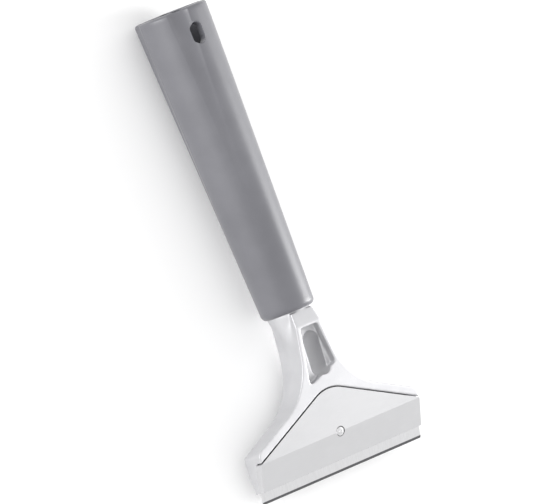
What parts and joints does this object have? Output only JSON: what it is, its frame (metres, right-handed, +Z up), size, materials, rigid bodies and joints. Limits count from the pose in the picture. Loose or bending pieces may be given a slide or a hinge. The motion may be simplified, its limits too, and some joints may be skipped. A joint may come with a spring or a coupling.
{
  "type": "floor scraper",
  "caption": "Hand floor scraper: hollow fluted plastic handle, die-cast wedge head, and a screw-clamped jaw that holds a flat steel blade.",
  "frame": {"origin": "centre of the tool's footprint, on the surface that it lies on with its jaw side up", "axes": "+Y along the handle from the blade to the open end, +Z up out of the front of the head, X along the blade"},
  "size_m": [0.1, 0.2431, 0.038],
  "materials": {
    "handle_plastic": "semi-gloss moulded plastic, mid grey",
    "cast_aluminium": "satin die-cast, fine blasted texture",
    "jaw_aluminium": "satin, linished along its width",
    "blade_steel": "ground and brushed",
    "stud_steel": "turned, zinc plated",
    "nut_steel": "turned, zinc plated",
    "washer_steel": "zinc plated"
  },
  "bodies": {
    "head": {"handle_grip": "handle_plastic", "head_casting": "cast_aluminium", "flat_washer": "washer_steel", "spring_washer": "washer_steel", "shank_screw": "washer_steel", "shank_washer": "washer_steel"},
    "jaw": {"clamp_jaw": "jaw_aluminium", "clamp_stud": "stud_steel"},
    "nut": {"thumb_nut": "nut_steel"},
    "blade": {"scraper_blade": "blade_steel"}
  },
  "joints": [
    {"name": "nut_turn", "type": "hinge", "parent": "head", "child": "nut", "pos_m": [0, -0.10202, 0.004], "axis": [0, 0, 1], "range_deg": [0, 1080]},
    {"name": "jaw_lift", "type": "slide", "parent": "head", "child": "jaw", "axis": [0, 0, 1], "range_m": [0, 0.0024]},
    {"name": "blade_slide", "type": "slide", "parent": "head", "child": "blade", "axis": [1, 0, 0], "range_m": [0, 0.105]}
  ],
  "couplings": [
    {"joint": "nut_turn", "follows": "jaw_lift", "rad_per_m": 7854}
  ]
}
